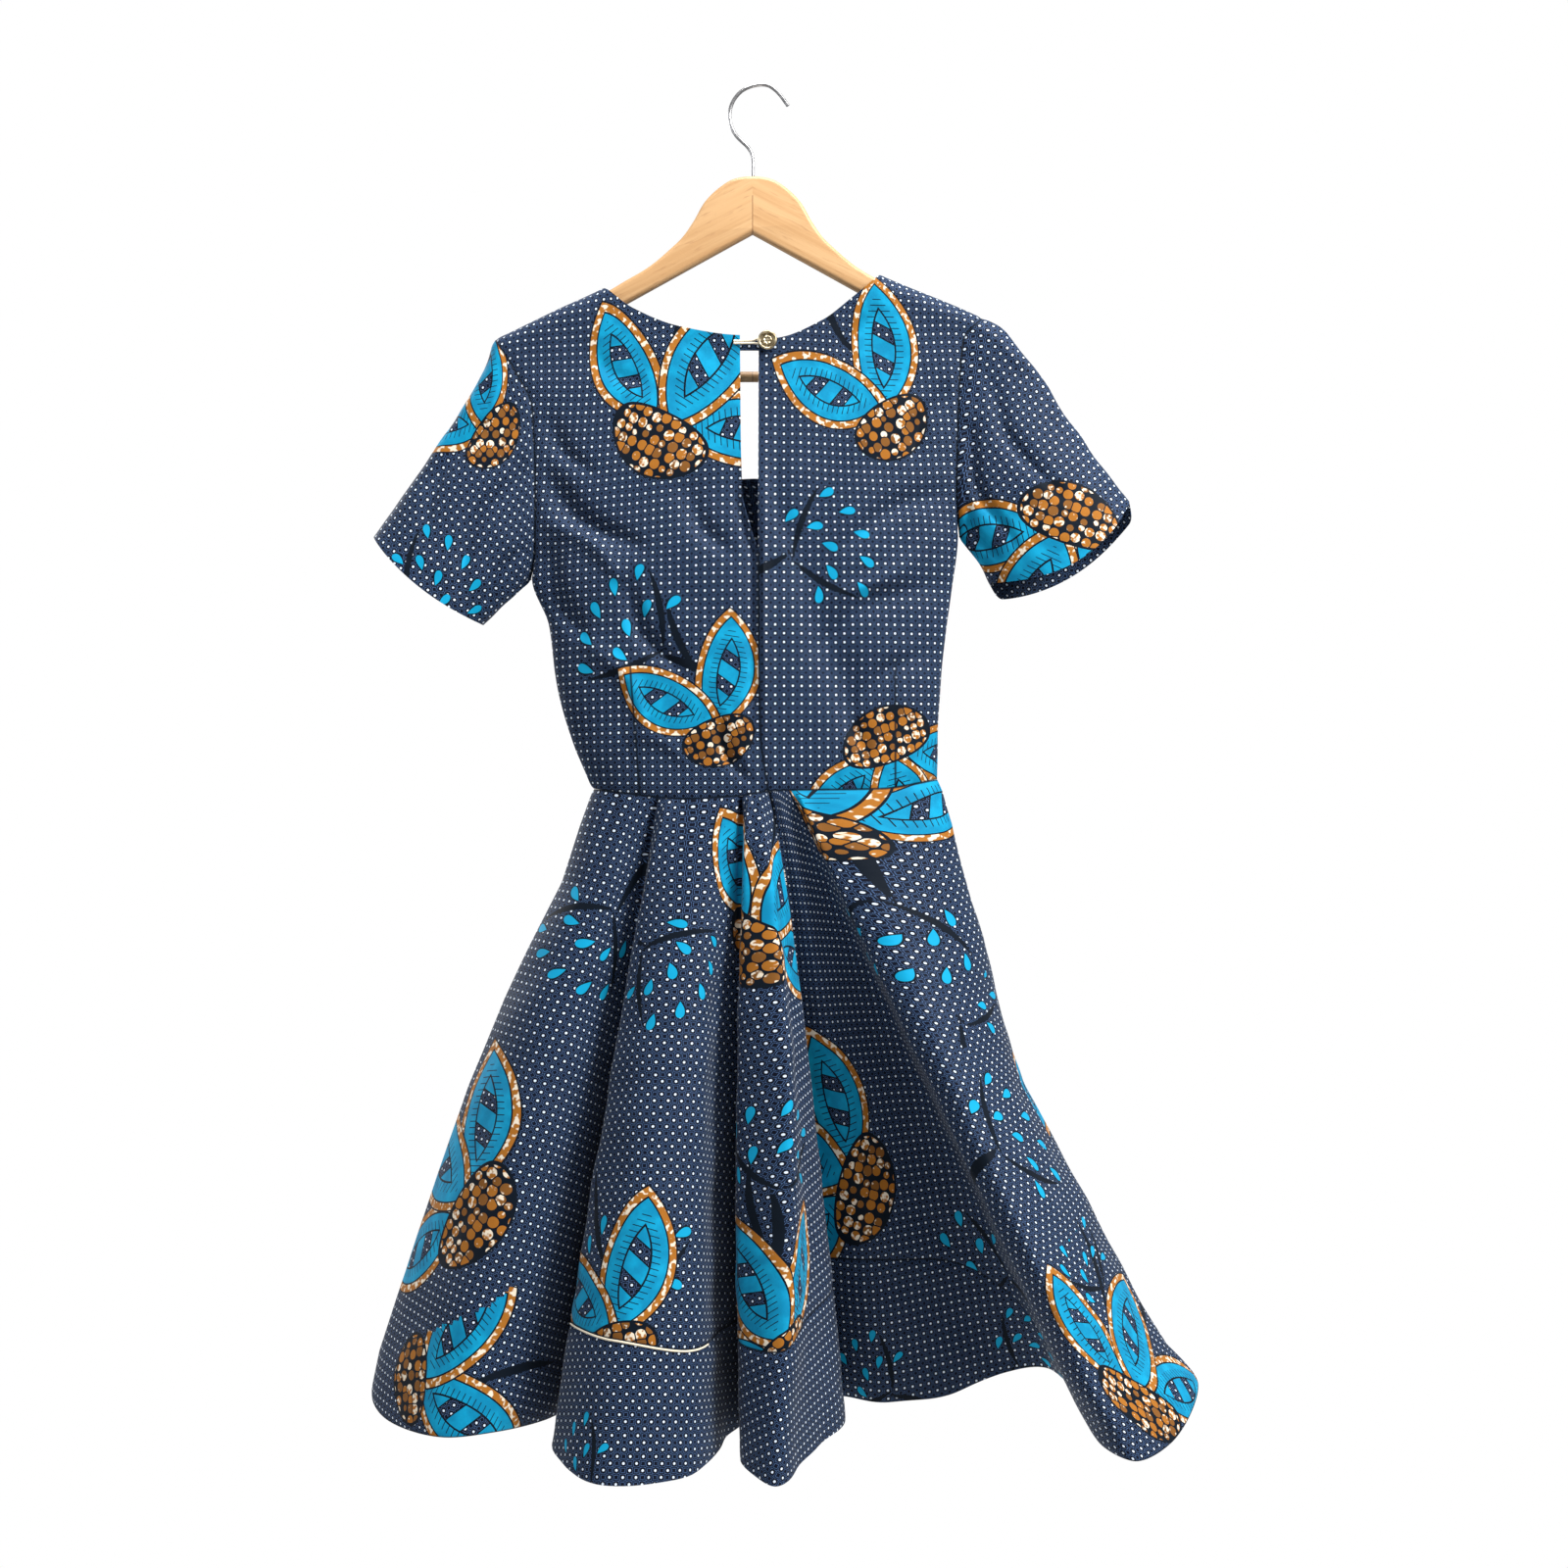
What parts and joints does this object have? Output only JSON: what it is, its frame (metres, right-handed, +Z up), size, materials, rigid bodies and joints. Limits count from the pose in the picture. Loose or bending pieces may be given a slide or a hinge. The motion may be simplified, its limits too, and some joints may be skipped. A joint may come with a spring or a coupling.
{
  "type": "a-line midi dress on its wooden hanger",
  "caption": "Knee-length fit-and-flare cotton dress with short sleeves, a keyhole back and a folded flared skirt, hanging from a wooden hanger's wire hook.",
  "frame": {"origin": "underside of the hook's crown, where the nail, peg or rail carries the hanger", "axes": "+Z up, +X to the right seen from the garment's back, -Y out of the garment's back, which is the side the picture shows"},
  "size_m": [0.7262, 0.33, 1.1682],
  "materials": {
    "printed_cotton": "crisp plain-weave cotton, printed, slight sheen",
    "cream_cord": "smooth thin cord",
    "gold_metal": "polished, slightly worn",
    "beech": "satin clear lacquer",
    "steel_wire": "bright wire"
  },
  "bodies": {
    "root": {"bodice_back_left": "printed_cotton", "bodice_back_right": "printed_cotton", "bodice_front": "printed_cotton", "sleeve_left": "printed_cotton", "sleeve_right": "printed_cotton", "skirt_back_left": "printed_cotton", "skirt_back_right": "printed_cotton", "skirt_hem_piece_left": "printed_cotton", "skirt_hem_piece_right": "printed_cotton", "skirt_front": "printed_cotton", "neck_tab": "printed_cotton", "button": "gold_metal", "button_loop": "cream_cord", "hanger_body": "beech", "hanger_bar": "beech", "hanger_hook": "steel_wire"}
  },
  "joints": []
}
